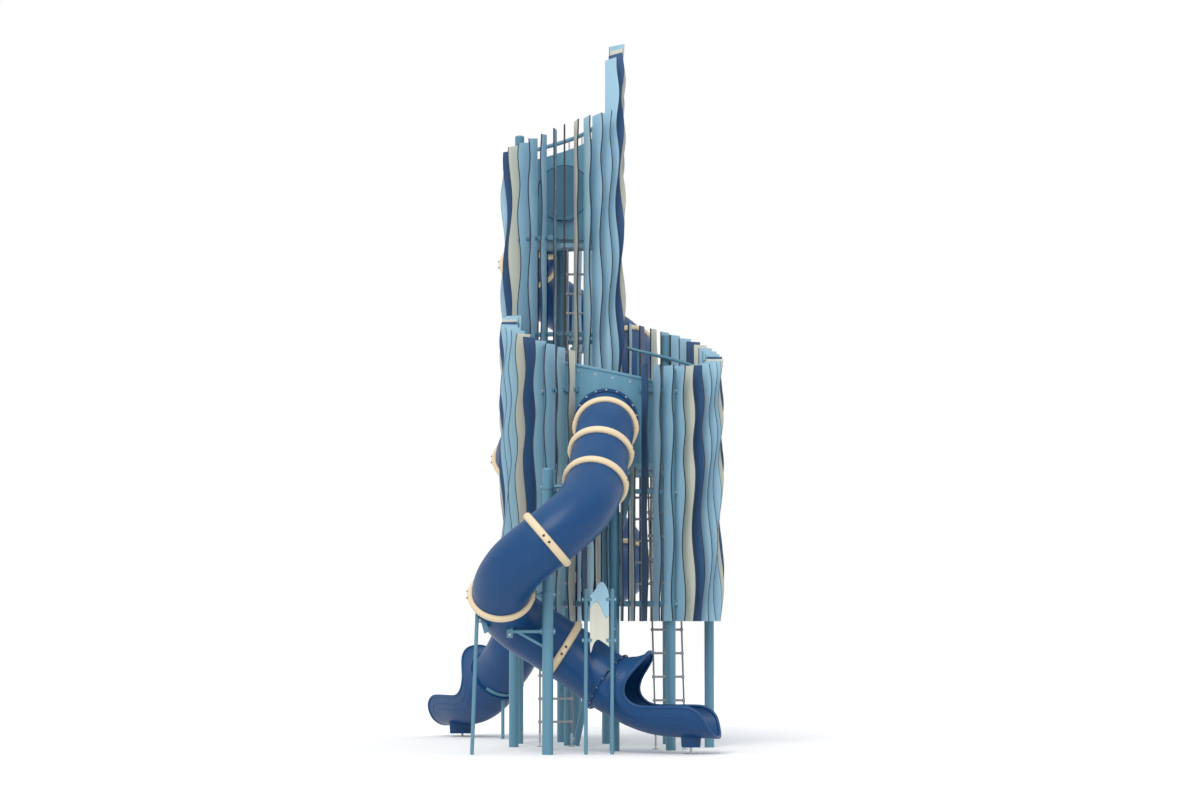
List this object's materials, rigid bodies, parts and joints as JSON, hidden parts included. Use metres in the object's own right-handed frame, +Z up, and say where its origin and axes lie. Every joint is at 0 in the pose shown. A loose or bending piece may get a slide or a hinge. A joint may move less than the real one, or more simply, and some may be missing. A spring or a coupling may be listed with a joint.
{
  "type": "playground play structure with two fin-clad towers and spiral tube slides",
  "caption": "Play towers ringed by upright wavy fins, joined by a floor, with spiral tube slides at the front and rear, rope ladders and a wavy play panel.",
  "frame": {"origin": "middle of the whole object's plan, on the ground", "axes": "+Z up, -Y the front that holds the near tube slide and the play panel, +X to the right seen from the front"},
  "size_m": [4.0976, 8.0018, 9.6005],
  "materials": {
    "teal_steel": "satin powder coat, teal blue",
    "teal_panel": "fine-grained board, teal blue",
    "deck_coating": "soft vinyl coating on a perforated deck",
    "light_blue_board": "fine-grained board, light blue, weathered",
    "navy_board": "fine-grained board, navy",
    "tan_board": "fine-grained board, pale tan",
    "slide_plastic": "moulded plastic, royal blue, dusty on top",
    "cream_plastic": "moulded plastic, cream",
    "rope": "braided grey rope with plastic rungs",
    "bolts": "zinc-coated"
  },
  "bodies": {
    "root": {"short_post_left": "teal_steel", "short_post_front_left": "teal_steel", "short_post_front": "teal_steel", "short_post_front_right": "teal_steel", "short_post_right": "teal_steel", "short_post_back": "teal_steel", "tall_post_left": "teal_steel", "tall_post_front": "teal_steel", "tall_post_right": "teal_steel", "tall_post_back": "teal_steel", "short_fins_left": "light_blue_board", "short_fins_left_front": "light_blue_board", "short_fins_left_back": "light_blue_board", "short_fins_right": "light_blue_board", "short_fins_right_front": "light_blue_board", "short_fins_right_back": "light_blue_board", "short_fins_back": "light_blue_board", "tall_fins_front": "light_blue_board", "tall_fins_right": "light_blue_board", "tall_fins_back_left": "light_blue_board", "tall_fins_back_right": "light_blue_board", "main_deck": "deck_coating", "tall_deck": "deck_coating", "short_front_panel": "teal_panel", "tall_back_panel": "teal_panel", "short_back_rail": "teal_steel", "front_flange": "slide_plastic", "front_slide_upper": "slide_plastic", "front_slide_bend": "slide_plastic", "front_slide_lower": "slide_plastic", "front_slide_exit": "slide_plastic", "rear_slide_top": "slide_plastic", "rear_slide_upper": "slide_plastic", "rear_slide_middle": "slide_plastic", "rear_slide_lower": "slide_plastic", "rear_slide_exit": "slide_plastic", "front_collar_1": "cream_plastic", "front_collar_2": "cream_plastic", "front_collar_3": "cream_plastic", "front_collar_4": "cream_plastic", "front_collar_5": "cream_plastic", "front_collar_6": "cream_plastic", "rear_collar_1": "cream_plastic", "rear_collar_2": "cream_plastic", "rear_collar_3": "cream_plastic", "rear_collar_4": "cream_plastic", "front_exit_foot": "navy_board", "rear_exit_foot": "navy_board", "front_slide_post": "teal_steel", "rear_slide_post": "teal_steel", "front_slide_prop": "teal_steel", "rear_slide_prop": "teal_steel", "leaning_strut": "teal_steel", "front_right_ladder": "rope", "rear_left_ladder": "rope", "tall_ladder": "rope", "wave_post_left": "teal_steel", "wave_post_right": "teal_steel", "wave_panel_blue": "light_blue_board", "wave_panel_tan": "tan_board"}
  },
  "joints": []
}
